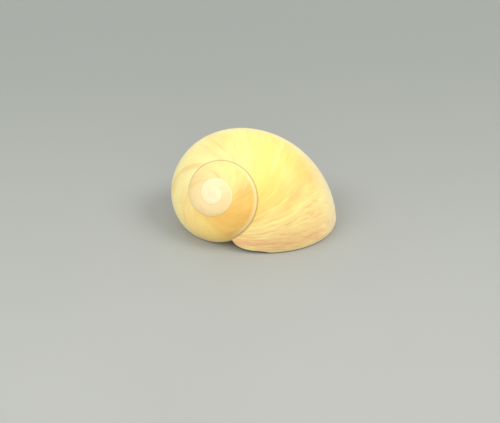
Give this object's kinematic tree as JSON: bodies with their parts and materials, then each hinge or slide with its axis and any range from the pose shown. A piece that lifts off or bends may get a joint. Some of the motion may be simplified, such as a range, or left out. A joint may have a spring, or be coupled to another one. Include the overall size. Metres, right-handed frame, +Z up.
{
  "type": "periwinkle shell",
  "caption": "Small coiled sea-snail shell with a low domed spire, a large smooth last whorl and a wide oval mouth, hollow inside and lying mouth down.",
  "frame": {"origin": "middle of the footprint, on the surface that the shell lies on", "axes": "+Z up with the shell lying on its mouth; +X along the shell's greatest length, towards the outer lip; -Y the side that faces a viewer who sees the spire at the lower left and the mouth's lower edge in front"},
  "size_m": [0.0144, 0.0106, 0.008],
  "materials": {
    "shell": "smooth satin, lemon yellow to orange yellow"
  },
  "bodies": {
    "root": {"shell": "shell"}
  },
  "joints": []
}
